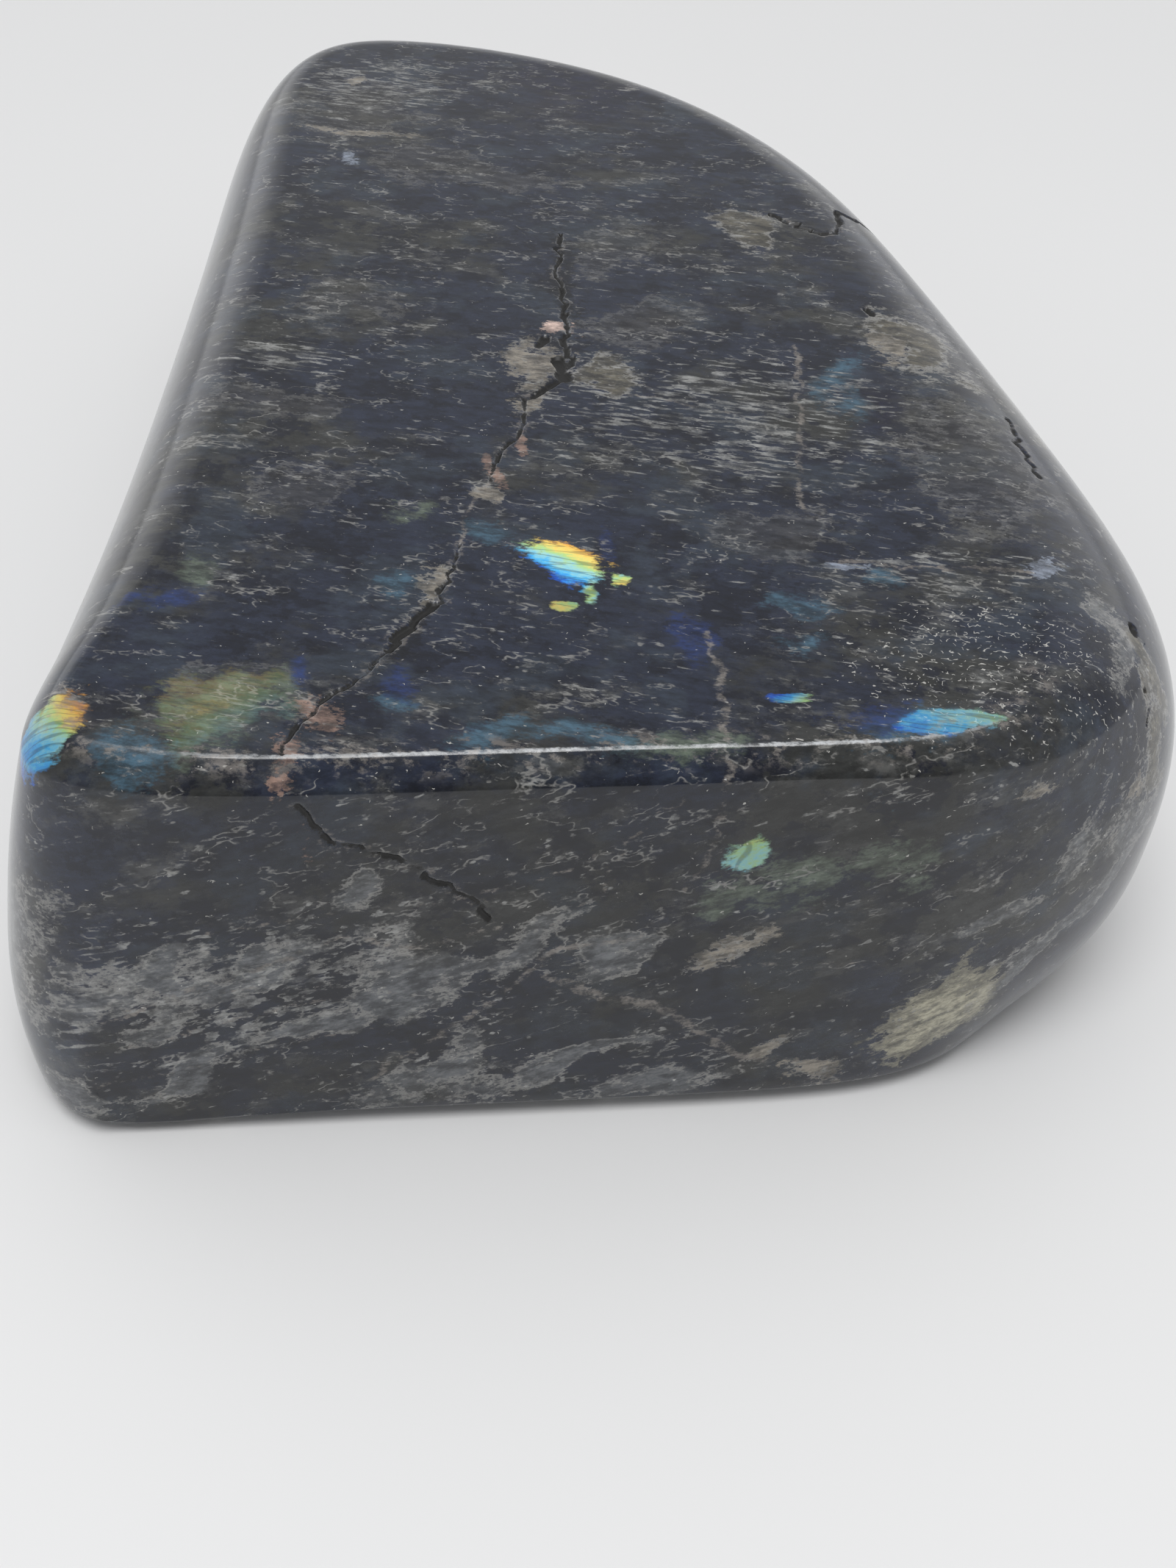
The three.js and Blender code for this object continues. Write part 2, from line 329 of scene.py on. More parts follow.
# Where the patches of each kind lie. The first kinds lie under the later ones.
PATCHES = {
    "navy": [
        top_patch(2.8, 68.6, 17.6, 12.5, -56), top_patch(39, -34.8, 4.4, 3, 74),
    ],
    "smoke": [
        top_patch(0.2, 2, 12, 1.7, 91), top_patch(-2.6, -28.8, 4, 1.5, 42),
        top_patch(-20, -79, 7, 1.4, 58),
    ],
    "grey brown": [
        top_patch(49, -50, 7.5, 15, 8), top_patch(55, -22, 5, 14, 20), top_patch(8.3, 9.3, 6.6, 5.7),
        top_patch(-37.4, -88.6, 5.5, 2.5), top_patch(12, -12, 9, 5, -10),
        top_patch(-38, -30, 7, 4, -10), flank_patch(-62, 10, 22, 92, 22, 9),
        flank_patch(64, -20, 18, 105, 18, 8), flank_patch(-20, 103, 26, 8, 14, 8),
        flank_patch(52, 45, 30, 118, 12, 9), top_patch(-30, -5, 9, 5, -20),
        top_patch(22, -62, 7, 4, -5), top_patch(-33, -50, 6, 4, 10), top_patch(-31, 61, 11.6, 8.8, -37),
        top_patch(-20.6, 40, 9, 4.6, -18), top_patch(-7.5, 33.4, 8.1, 3.3, -15),
    ],
    "moss": [
        top_patch(6.9, -99.6, 5, 1.5), flank_patch(-65, -70, 40, 95, 7, 5),
        top_patch(-45.1, -67.8, 2.8, 1.6, -71), top_patch(-20.6, -57.8, 2.2, 2.1),
        top_patch(-39.6, -97, 3.8, 2.6), top_patch(-33.2, -89.7, 3.4, 1.5, -85),
        end_patch(21.5, 40.8, 6.5, 4.2), end_patch(30.8, 42.6, 3.4, 2.8),
        top_patch(-38.4, -93.6, 6, 4.6), end_patch(11.9, 39.3, 2.7, 2.4),
    ],
    "teal": [
        top_patch(-10.6, -98.7, 4, 1.6), top_patch(-1.4, -99, 4.5, 1.5),
        flank_patch(66, -2, 34, 104, 8, 5), flank_patch(-60, 40, 32, 90, 9, 5),
        flank_patch(8, 100, 24, -30, 9, 6), top_patch(-11, -60.7, 2.6, 2, -76),
        top_patch(-21.6, -72.2, 2.1, 1.7), top_patch(36, -28.6, 6.3, 2.1, 80),
        top_patch(-49.7, -97.7, 3.4, 2), top_patch(34.2, -72.4, 1.8, 1.5),
        top_patch(23.1, -77.2, 2.1, 1.8), top_patch(22.7, -84.4, 2, 1.9),
        top_patch(-22.2, -91.6, 1.6, 1.2), top_patch(33.5, -98.6, 6, 2),
    ],
    "violet": [
        top_patch(10.8, -84.2, 2.6, 2.5), top_patch(30.1, -97.2, 4.7, 2.1),
        top_patch(2.1, -64.1, 3.2, 0.8, -89), top_patch(-51.4, -72.4, 2.5, 0.9, 50),
        top_patch(-31.9, -87, 3.2, 0.7, -87), top_patch(-21.8, -88, 2.8, 1.3, -81),
        top_patch(-46, -72, 2.6, 1.2, 30),
    ],
    "tan": [
        top_patch(27.9, 17.1, 8.8, 3.7, -59), top_patch(47.1, -19.9, 10.2, 4.1, -68),
        top_patch(60.5, -31.5, 6.5, 2.8, 72), top_patch(3.5, -24.6, 4.3, 2.6, 86),
        flank_patch(63.2, -87.8, 50, 75, 3, 4, 5), flank_patch(64.3, -89.2, 44, 60, 2.2, 4, 5),
        flank_patch(62.8, -82.5, 53, 80, 2.4, 3.5, 5),
    ],
    "ash": [
        flank_patch(-66, -45, 24, 96, 15, 4), flank_patch(-56, 62, 18, 86, 12, 5),
        flank_patch(68, -55, 14, 82, 12, 4), flank_patch(34, 78, 20, 140, 13, 4),
        flank_patch(-66, -94.3, 30, 60, 4, 12, 6), end_patch(-44, 29.4, 17, 3.6, 18),
        end_patch(-56.9, 20.9, 10, 2.6, 16), end_patch(-50, 10.4, 9, 2.2, 40),
        end_patch(-21.6, 29.8, 8.1, 4.8, 30), end_patch(-19.4, 10.4, 8, 4.2, 44),
        end_patch(-64, 6, 5, 3, 30), end_patch(-34, 20, 9, 1.4, 24), end_patch(2, 30.5, 5, 1.6, 24),
        end_patch(6, 4.5, 9, 2, 16), end_patch(-10.1, 32.4, 7.8, 2.9, 29),
        end_patch(-3.5, 11.5, 10.6, 2.6, 9), end_patch(-26.6, 45.8, 3.5, 1.8, -79),
        end_patch(53, 25, 9, 2.4, 35, 8, -98), end_patch(45.4, 32, 5, 1.5, 25, 6, -101),
        end_patch(60, 30, 6, 1.8, 35, 8, -94.5), end_patch(49, 19.5, 8, 1.5, 38, 8, -99),
        end_patch(54.4, 40, 4, 1.6, 60, 6, -98), flank_patch(59.4, -86, 55.5, 75, 7, 2.5, 4),
        end_patch(61.4, 38, 3, 5, 0, 5, -93.5),
    ],
    "cream": [
        top_patch(-4.3, -24.3, 5.4, 2.8, 88), top_patch(-4, -33.6, 2.5, 2.1),
        top_patch(-17.2, -73.2, 3.1, 1.6, 67), top_patch(-12.7, -52.2, 1.4, 1.2),
        top_patch(-30.4, 52.5, 8.2, 1.1, -18), top_patch(-31, 72.6, 1.8, 1.2),
        flank_patch(61.1, -93.2, 44.3, 50, 2.4, 1.3, 4), flank_patch(46.6, -100.6, 52.8, 15, 2, 0.9, 4),
        end_patch(14.3, 29.9, 3.6, 1.7, 39), end_patch(18.9, 11.3, 3.1, 1.3, 31),
        end_patch(24.6, 5.4, 3.3, 1.7), top_patch(42.2, -19.7, 4.2, 1.8, -78),
    ],
    "ivory": [
        end_patch(40.3, 14.6, 9.4, 4.8, 53, 9, -100.9),
    ],
    "frost": [
        top_patch(52.6, -71.9, 2.1, 1.5, 10), top_patch(-31.8, 43.4, 2.4, 1, -87),
        top_patch(30, -69.9, 2.4, 0.6, -7),
    ],
    "amber": [
        top_patch(-40.1, -93, 2.8, 1.1),
    ],
    "rose": [
        top_patch(-6.6, -42.3, 2.9, 0.7, 88), top_patch(-11, -47.2, 3.2, 0.8, -82),
        top_patch(-29.7, -95.4, 3.4, 1.8, -77), top_patch(-32.3, -100.8, 2.6, 1.1, -72),
        end_patch(-32.5, 59, 1.3, 2.4, 0, 3.5),
    ],
    "pink": [
        top_patch(-1.3, -13.2, 2, 1.5),
    ],
}

# Flashes of spectral colour, the stone's schiller painted in as colour: where, the axis that the colour
# runs along as shares of the patch's first and second axis, the colour's place in the spectrum at both ends,
# and the strength.
FLASHES = [
    (top_patch(-3.2, -66.6, 5.6, 3.1, -47), (-0.2, 0.9), (0.18, 0.88), 1.0),
    (top_patch(3.3, -71.4, 1.2, 1.1), (0.0, -1.0), (0.45, 0.7), 0.9),
    (top_patch(-3, -76.2, 1.5, 1.0), (1.0, 0.0), (0.7, 0.55), 0.55),
    (top_patch(36.6, -98.4, 5.2, 1.7, 7), (1.0, 0.3), (0.26, 0.5), 0.5),
    (top_patch(20.3, -93.6, 2.6, 0.8), (1.0, -0.4), (0.12, 0.55), 0.5),
    (top_patch(-0.1, -74, 1.7, 0.8, 86), (0.0, 1.0), (0.5, 0.56), 0.7),
    (top_patch(-38.5, -93.5, 6.4, 5.2, 0), (0.3, -1.0), (0.70, 0.47), 0.1),
    (top_patch(-57.6, -94.2, 4.6, 2.4, 56), (-0.95, 0.33), (0.9, 0.15), 0.6),
    (flank_patch(-63.5, -22, 33, 94, 5, 3), (1.0, 0.4), (0.12, 0.5), 0.6),
    (flank_patch(-52, 84, 28, 80, 4, 3), (1.0, 0.2), (0.85, 0.5), 0.5),
    (flank_patch(59, 28, 24, 112, 5, 3), (1.0, -0.3), (0.15, 0.6), 0.55),
    (end_patch(15.2, 46.1, 2.8, 1.9, 35), (1.0, 0.4), (0.46, 0.53), 0.6),
]

STREAK_ZONES = [top_patch(20.6, -37.4, 26, 17, 0, 14), top_patch(-28, 70, 18, 14, 0, 14),
                top_patch(-38, -19, 13, 5, -10, 14), top_patch(40, -71, 14, 4, 0, 14),
                end_patch(-44, 27, 24, 12, 18, 14)]
# Where the flecks painted as glints lie close together
GLINT_FLECK_ZONE = top_patch(43, -89, 15, 12, 0, 14)
STRAY_WAVES = ((19, 1.2), (9, 0.7), (5, 0.5))  # wavelength and push, in millimetres
STRAY_FULL = 3.0  # half width from which a patch's outline strays in full

CRACK_DEPTH = 0.45
CRACK_WALL = 0.5  # width over which a crack's wall falls to its depth
JAG_STEP = 1.3  # length of the short straight pieces a crack is made of
JAG = 0.36  # how far each piece's end strays sideways
CRACK_SEED, SEAM_SEED, STRAY_SEED = 11, 12, 21

# Levels of refining near the lines: how near an edge has to be, and how long it may stay
CRACK_LEVELS = ((2.5, 0.9), (1.4, 0.5), (0.8, 0.28))
SEAM_LEVELS = ((1.5, 0.9), (0.8, 0.5))

FAR_OFF = 4.0  # half sizes from a patch past which it isn't told how far
SAWN_END_SHADE_EASE = (0.8, 0.2)  # distances from the sawn plane between which its painted shade sets in
WORN_HIGHLIGHT_LEFT = (-60, -24)  # where along x the ridge's wear and painted highlight set in, and where they are full
WORN_HIGHLIGHT_RIGHT = (48, 28)


def jagged(line, rng):
    """A line through the points as short straight pieces whose ends stray a little."""
    points = np.array(line, float)
    out = [points[0]]
    for a, b in zip(points, points[1:]):
        pieces = max(1, round(np.linalg.norm(b - a) / JAG_STEP))
        for k in range(1, pieces + 1):
            stray = rng.normal(0, JAG, 3) * (1, 1, 0.4) if k < pieces else 0
            out.append(a + (b - a) * k / pieces + stray)
    return np.array(out)


def line_pieces(lines, seed):
    """Start, end and half width of every short piece of the lines."""
    rng = np.random.default_rng(seed)
    starts, ends, widths = [], [], []
    for width, line in lines:
        path = jagged(line, rng)
        starts.append(path[:-1])
        ends.append(path[1:])
        widths.append(width * rng.uniform(0.55, 1.35, len(path) - 1))
    return np.concatenate(starts), np.concatenate(ends), np.concatenate(widths)


def clearance(points, pieces):
    """How far each point is outside the nearest line piece, below 0 inside its width."""
    out = np.full(len(points), 50.0)
    for a, b, width in zip(*pieces):
        along = b - a
        t = np.clip((points - a) @ along / (along @ along + 1e-9), 0, 1)
        gap = np.linalg.norm(points - a - t[:, None] * along, axis=1) - width
        out = np.minimum(out, gap)
    return out


def refine(bm, pieces, levels):
    """Splits the edges near the line pieces, level by level, so that the lines can be cut in."""
    for reach, longest in levels:
        bm.verts.ensure_lookup_table()
        near = clearance(np.array([v.co for v in bm.verts]), pieces) < reach
        split = [e for e in bm.edges
                 if (near[e.verts[0].index] or near[e.verts[1].index]) and e.calc_length() > longest]
        bmesh.ops.subdivide_edges(bm, edges=split, cuts=1)
        bmesh.ops.triangulate(bm, faces=[f for f in bm.faces if len(f.verts) > 3])
        bm.verts.index_update()


def patch_axes(points, patch):
    """The points along the patch's axes, in its half sizes."""
    at, turn, size = patch
    return (points - at) @ np.array(Euler(turn).to_matrix()) / size


def eased_step(values, low, high):
    share = np.clip((values - low) / (high - low), 0, 1)
    return share * share * (3 - 2 * share)


def stray(points):
    """Smooth waves of displacement, which make the outlines measured from the points uneven."""
    rng = np.random.default_rng(STRAY_SEED)
    out = np.zeros_like(points)
    for wavelength, push in STRAY_WAVES:
        for _ in range(4):
            heading = rng.normal(size=3)
            heading *= 2 * math.pi / wavelength / np.linalg.norm(heading)
            wave = np.sin(points @ heading + rng.uniform(0, 2 * math.pi))
            out += push * wave[:, None] * rng.normal(size=3)
    return out


def colour_regions(points):
    """How far each point lies outside the patches and flashes, in their half sizes, and how thick
    the dashes and the flecks painted as glints are there."""
    carried = {}
    push = stray(points)

    def axes_of(patch, share):
        across = sorted(patch[2])[0]
        return patch_axes(points + push * min(share * across / STRAY_FULL, 1), patch)

    for name, patches in PATCHES.items():
        away = [np.linalg.norm(axes_of(patch, 1), axis=1) - 1 for patch in patches]
        carried[name] = np.clip(np.min(away, axis=0), -1, FAR_OFF)

    nearest = np.full(len(points), FAR_OFF)
    hue, strength = np.zeros(len(points)), np.zeros(len(points))
    for patch, (first, second), (start, end), brightness in FLASHES:
        axes = axes_of(patch, 0.5)
        away = (np.abs(axes) ** 3).sum(1) ** (1 / 3) - 1
        on_top_face = patch[2][2] > 5  # its third half size is then the depth
        across = axes[:, 1] if on_top_face else axes[:, 2]
        share = np.clip(0.5 + 0.5 * (first * axes[:, 0] + second * across), 0, 1)
        closer = away < nearest
        nearest = np.where(closer, away, nearest)
        hue = np.where(closer, start + (end - start) * share, hue)
        strength = np.where(closer, brightness, strength)
    carried.update({"flash": nearest, "flash hue": hue, "flash strength": strength})

    streaks = [np.linalg.norm(patch_axes(points, zone), axis=1) for zone in STREAK_ZONES]
    glint_fleck_zone = np.linalg.norm(patch_axes(points, GLINT_FLECK_ZONE), axis=1)
    near_half = eased_step(points[:, 1], 60, -60)
    carried["dash amount"] = 0.2 + 0.8 * eased_step(np.min(streaks, axis=0), 1.3, 0.4)
    # More flecks painted as glints in the near half and in their zone
    carried["fleck amount"] = 0.02 + 0.16 * near_half + 0.5 * eased_step(glint_fleck_zone, 1.4, 0.6)
    return carried


def make_stone():
    """The stone as a fine mesh with its cracks cut in, and attributes that tell the finish where they run."""
    points, faces, ridge = stone_surface()
    cracks = line_pieces(CRACKS, CRACK_SEED)
    seams = line_pieces(SEAMS, SEAM_SEED)
    bm = bmesh.new()
    for p in points:
        bm.verts.new(p)
    bm.verts.ensure_lookup_table()
    for corners in faces:
        bm.faces.new([bm.verts[k] for k in corners])
    bm.verts.index_update()
    refine(bm, cracks, CRACK_LEVELS)
    refine(bm, seams, SEAM_LEVELS)
    bmesh.ops.recalc_face_normals(bm, faces=bm.faces)
    bm.normal_update()

    places = np.array([v.co for v in bm.verts])
    normals = np.array([v.normal for v in bm.verts])
    crack = clearance(places, cracks)
    seam = clearance(places, seams)
    sunk = CRACK_DEPTH * np.clip(0.5 - crack / CRACK_WALL, 0, 1)
    places = places - normals * sunk[:, None]
    low, high = (np.array(corner) / MM for corner in CAD_BOX)
    places = np.clip(places, low, high)
    for v, place in zip(bm.verts, places):
        v.co = place * MM
    for face in bm.faces:
        face.smooth = True

    mesh = bpy.data.meshes.new("labradorite")
    bm.to_mesh(mesh)
    bm.free()
    ridge_pieces = (ridge[:-1], ridge[1:], np.zeros(len(ridge) - 1))
    carried = {"crack": crack, "seam": seam, "ridge": clearance(places, ridge_pieces)}
    x = places[:, 0]
    # 1 on the sawn end, where the ground is painted darker as shade
    carried["end"] = eased_step(places[:, 1] - SAWN_Y, *SAWN_END_SHADE_EASE)
    # How much the ridge's pale line shows: partly wear, partly a painted highlight
    carried["ridge wear"] = eased_step(x, *WORN_HIGHLIGHT_LEFT) * eased_step(x, *WORN_HIGHLIGHT_RIGHT)
    carried.update(colour_regions(places))
    for name, values in carried.items():
        attribute = mesh.attributes.new(name, "FLOAT", "POINT")
        attribute.data.foreach_set("value", values.astype(np.float32))
    stone = bpy.data.objects.new("labradorite", mesh)
    bpy.context.scene.collection.objects.link(stone)
    return stone


class Field:
    """One output of a node. Arithmetic on number fields adds Math nodes."""

    def __init__(self, nodes, socket):
        self.nodes = nodes
        self.socket = socket

    def maths(self, operation, *values):
        return self.nodes.add("ShaderNodeMath", {"operation": operation}, values)

    def __add__(self, other):
        return self.maths("ADD", self, other)

    def __radd__(self, other):
        return self.maths("ADD", other, self)

    def __sub__(self, other):
        return self.maths("SUBTRACT", self, other)

    def __rsub__(self, other):
        return self.maths("SUBTRACT", other, self)

    def __mul__(self, other):
        return self.maths("MULTIPLY", self, other)

    def __rmul__(self, other):
        return self.maths("MULTIPLY", other, self)

    def __abs__(self):
        return self.maths("ABSOLUTE", self)

    def most(self, other):
        return self.maths("MAXIMUM", self, other)

    def step(self, low, high):
        """Runs smoothly from 0 at low to 1 at high; low may be the larger."""
        return self.nodes.add(
            "ShaderNodeMapRange",
            {"interpolation_type": "SMOOTHSTEP"},
            {"Value": self, "From Min": low, "From Max": high},
        )


class Nodes:
    """The nodes of one material or of the world."""

    def __init__(self, tree):
        self.tree = tree
        tree.nodes.clear()

    def add(self, kind, settings, values, output=0):
        """A node of that type: its settings are set first, then the values or links of its sockets."""
        node = self.tree.nodes.new(kind)
        for name, setting in settings.items():
            if name == "stops":
                ramp = node.color_ramp.elements
                while len(ramp) < len(setting):
                    ramp.new(1.0)
                for element, (position, colour) in zip(ramp, setting):
                    element.position = position
                    element.color = (*colour, 1)
            else:
                setattr(node, name, setting)
        for name, value in values.items() if isinstance(values, dict) else enumerate(values):
            if isinstance(value, Field):
                self.tree.links.new(value.socket, node.inputs[name])
            else:
                node.inputs[name].default_value = value
        return None if output is None else Field(self, node.outputs[output])

    def vector(self, operation, *values, output=0):
        return self.add("ShaderNodeVectorMath", {"operation": operation}, values, output)

    def mix(self, mask, a, b):
        """Colour a where the mask is 0 and b where it is 1."""
        a, b = (value if isinstance(value, Field) else (*value, 1) for value in (a, b))
        return self.add("ShaderNodeMix", {"data_type": "RGBA"}, {0: mask, 6: a, 7: b}, 2)

    def dimmed(self, colour, share):
        """The colour times a number field, which may pass 1."""
        colour = colour if isinstance(colour, Field) else (*colour, 1)
        return self.add(
            "ShaderNodeMix", {"data_type": "RGBA", "clamp_factor": False},
            {0: share, 6: (0, 0, 0, 1), 7: colour}, 2)

    def attribute(self, name):
        """A number that the mesh carries at its points."""
        return self.add("ShaderNodeAttribute", {"attribute_name": name}, {}, 2)

    def surface(self, kind, values, output="ShaderNodeOutputMaterial"):
        """The shader that the material or the world shows."""
        self.add(output, {}, {"Surface": self.add(kind, {}, values)}, None)

    def noise(self, place, size, detail=3.0, roughness=0.55, output=0):
        """Noise from 0 to 1 whose features are about size across."""
        return self.add("ShaderNodeTexNoise", {}, {
            "Vector": place, "Scale": 1 / size, "Detail": detail, "Roughness": roughness}, output)

    def local(self, place, at, turn, size):
        """The place as seen in a box at a point, turned, and measured in the box's half sizes."""
        return self.add("ShaderNodeMapping", {"vector_type": "TEXTURE"}, {
            "Vector": place, "Location": at, "Rotation": turn, "Scale": size})

    def ramp(self, value, stops):
        return self.add("ShaderNodeValToRGB", {"stops": stops}, {"Fac": value})


NEAR_VEIL = 0.036  # light that the polish reflects to the camera from the near half of the top
FAR_VEIL = 0.052
LIT = 1.0  # light on a level surface, as a share of what a white card gives back


def linear(tone):
    share = tone / 255
    return share / 12.92 if share <= 0.04045 else ((share + 0.055) / 1.055) ** 2.4


def seen(red, green, blue, veil=NEAR_VEIL):
    """The stone's own colour where it looks like that 0 to 255 colour under the polish's reflection."""
    return tuple(max((linear(tone) - veil) / LIT, 0.002) for tone in (red, green, blue))


def flat_seen(*tones):
    return seen(*tones, veil=0.04)


SLATE = (0.0155, 0.0205, 0.0380)
OLIVE_BROWN = (0.0315, 0.0325, 0.0315)
NIGHT = (0.0070, 0.0090, 0.0180)
STEEL = (0.0290, 0.0390, 0.0560)
PALE_HAZE = (0.1000, 0.1010, 0.0980)
THREAD = (0.3000, 0.2950, 0.2800)
DASH = (0.2600, 0.2620, 0.2550)
# Glints off the cleavage, painted as pale flecks
GLINT_FLECK = (0.5200, 0.5100, 0.4800)
SEAM = (0.2150, 0.1950, 0.1760)
# Pale worn stone along the ridge, which also stands in as a painted highlight
WORN_AND_HIGHLIGHT = (0.5000, 0.5150, 0.5300)
CRACK_BLACK = (0.004, 0.0035, 0.003)

# The finish of each kind of patch: name, colour, softness of its edge, strength, and the strength
# of the pale line round it.
PATCH_TINTS = [
    ("navy", seen(60, 66, 78, FAR_VEIL), 0.6, 0.7, 0),
    ("smoke", (0.006, 0.007, 0.011), 0.4, 1.0, 0),
    ("grey brown", seen(94, 93, 91, 0.046), 0.5, 0.5, 0.2),
    ("moss", flat_seen(106, 114, 104), 0.5, 0.95, 0),
    ("teal", flat_seen(88, 112, 128), 0.6, 0.85, 0),
    ("violet", flat_seen(68, 78, 114), 0.6, 0.9, 0),
    ("tan", flat_seen(116, 112, 101), 0.22, 0.85, 0.7),
    ("ash", flat_seen(118, 120, 122), 0.3, 0.8, 0.6),
    ("cream", flat_seen(150, 144, 134), 0.25, 0.9, 0.4),
    ("ivory", flat_seen(172, 168, 150), 0.15, 1.0, 0),
    ("frost", flat_seen(150, 158, 172), 0.2, 0.85, 0),
    ("amber", flat_seen(146, 120, 90), 0.4, 0.8, 0),
    ("rose", flat_seen(150, 128, 118), 0.2, 0.9, 0),
    ("pink", flat_seen(205, 182, 172), 0.15, 1.0, 0),
]

WIDE_PATCHES = {"navy", "grey brown", "tan", "ash", "ivory"}

# The colours that a flash runs through, from its coldest to its warmest
SPECTRUM = [
    (0.00, seen(46, 58, 138)),
    (0.18, seen(58, 116, 232)),
    (0.34, seen(95, 195, 250)),
    (0.46, seen(172, 228, 226)),
    (0.56, seen(190, 228, 150)),
    (0.68, seen(255, 232, 130)),
    (0.84, seen(255, 188, 92)),
    (1.00, seen(232, 150, 112)),
]


def stone_finish():
    """Dark feldspar under a high polish: slate and olive grain, pale cleavage, flecks painted as glints,
    schiller flashes painted in as colour, a worn ridge with a painted highlight, a sawn end painted darker as
    shade, cracks.
    """
    material = bpy.data.materials.new("polished labradorite")
    material.use_nodes = True
    n = Nodes(material.node_tree)
    metres = n.add("ShaderNodeTexCoord", {}, {}, 3)
    place = n.local(metres, (0, 0, 0), (0, 0, 0), (MM, MM, MM))

    # Ground of slate and brown grain
    broad = n.noise(n.local(place, (31, 12, 4), GRAIN, (1.5, 1, 1.1)), 20, 7.0, 0.66)
    blots = n.noise(n.local(place, (3, 40, 9), GRAIN, (1.3, 1, 1.1)), 6.5, 6.0, 0.70)
    haze = n.noise(n.local(place, (60, 7, 21), GRAIN, (1.9, 1, 1)), 4.5, 6.0, 0.74)
    blue_haze = n.noise(n.local(place, (9, 77, 30), GRAIN, (1.2, 1, 1)), 11, 4.0, 0.6)
    streaks = n.noise(n.local(place, (4, 4, 1), GRAIN, (3.4, 1, 1)), 1.3, 5.0, 0.72)
    fine = n.noise(n.local(place, (7, 3, 5), GRAIN, (2.2, 1, 1)), 0.4, 2.0, 0.6)
    rag = n.noise(n.local(place, (17, 5, 2), GRAIN, (1.7, 1, 1.2)), 1.8, 6.0, 0.74)
    torn = rag.step(0.36, 0.64)
    drawn = streaks.step(0.34, 0.66)
    colour = n.mix(broad.step(0.47, 0.60), SLATE, OLIVE_BROWN)
    colour = n.mix(blots.step(0.50, 0.56) * 0.85, colour, NIGHT)
    colour = n.mix(blue_haze.step(0.52, 0.62) * 0.65, colour, STEEL)
    cluster = broad.step(0.44, 0.54)
    colour = n.mix(haze.step(0.52, 0.62) * cluster * 0.45, colour, PALE_HAZE)
    shade = (0.55 + 0.55 * drawn + 0.3 * torn) * (0.75 + 0.5 * fine)
    # The sawn end's ground is painted 35 percent darker, as shade.
    colour = n.dimmed(colour, shade * (1 - 0.35 * n.attribute("end")))

    # Patches of other minerals, and weak schiller painted in as colour, torn along the grain
    mottled = (0.42 + 0.35 * torn + 0.68 * drawn) * (0.72 + 0.56 * fine)
    tear = (blots - 0.5) * 1.6 + (streaks - 0.5) * 1.9 + (rag - 0.5) * 0.9 + (fine - 0.5) * 0.5
    small_tear = (rag - 0.5) * 4.0 + (fine - 0.5) * 1.6
    clear = 0.5 + 0.5 * drawn
    for name, tint, soft, strength, outline in PATCH_TINTS:
        away = n.attribute(name) + (tear if name in WIDE_PATCHES else small_tear)
        colour = n.mix(away.step(soft, -soft) * clear * strength, colour, n.dimmed(tint, mottled))
        if outline:
            line = abs(away).step(0.2, 0.04) * rag.step(0.40, 0.54)
            colour = n.mix(line * outline, colour, THREAD)

    # Pale threads where the stone has parted and healed, and short wisps between them
    wander = n.noise(n.local(place, (1, 2, 3), GRAIN, (2.4, 1, 1)), 8, 4.0, 0.64)
    threads = abs(wander - 0.5).step(0.012, 0.002) * haze.step(0.44, 0.55) * rag.step(0.42, 0.54)
    waver = n.noise(n.local(place, (8, 6, 3), GRAIN, (6, 1, 1)), 2.2, 3.0, 0.6)
    wisps = abs(waver - 0.5).step(0.018, 0.004) * haze.step(0.54, 0.62) * rag.step(0.46, 0.56)
    colour = n.mix(threads.most(wisps * 0.7) * 0.6, colour, THREAD)

    # Pale dashes along the cleavage
    dash_noise = n.noise(n.local(place, (2, 0, 9), GRAIN, (22, 1, 1.6)), 0.6, 2.0, 0.5)
    dash_amount = n.attribute("dash amount") * 0.2 + (haze - 0.5) * 0.6
    dashes = (dash_noise + dash_amount).step(0.71, 0.77) * (0.2 + 0.8 * torn)
    colour = n.mix(dashes * 0.85, colour, n.dimmed(DASH, mottled))

    # Short bright flecks, painted glints off the cleavage, and curled ones close together towards the right
    # end
    glint_spots = n.noise(n.local(place, (5, 8, 2), GRAIN, (2.6, 1, 1.3)), 0.5, 1.0, 0.5)
    curl = abs(n.noise(place, 1.0, 1.0, 0.5) - 0.5)
    amount = n.attribute("fleck amount")
    curled_glints = curl.step(0.03, 0.008) * (glint_spots + amount * 0.34).step(0.76, 0.82)
    glint_flecks = (glint_spots + amount * 0.05 + (broad - 0.5) * 0.4).step(0.86, 0.89).most(curled_glints)
    colour = n.mix(glint_flecks * 0.85, colour, GLINT_FLECK)

    # Flashes of schiller, painted in as colour, crossed by dark cleavage lines
    lamella = abs(n.noise(n.local(place, (0, 0, 0), GRAIN, (14, 1, 9)), 0.9, 1.0, 0.4) - 0.5)
    lines = lamella.step(0.02, 0.06)
    hue = n.attribute("flash hue") + (fine - 0.5) * 0.15 + (rag - 0.5) * 0.5
    lit = (n.attribute("flash") + tear * 0.7).step(0.16, -0.16)
    flash = lit * (0.55 + 0.45 * lines) * n.attribute("flash strength")
    colour = n.mix(flash, colour, n.ramp(hue, SPECTRUM))

    # Seams, the ridge of the bevel, pale from wear and a painted highlight, and cracks
    crack = n.attribute("crack")
    ragged = (fine - 0.5) * 1.2
    seam = (n.attribute("seam") + ragged).step(0.2, -0.15) * rag.step(0.38, 0.56)
    colour = n.mix(seam * 0.7, colour, n.dimmed(SEAM, mottled))
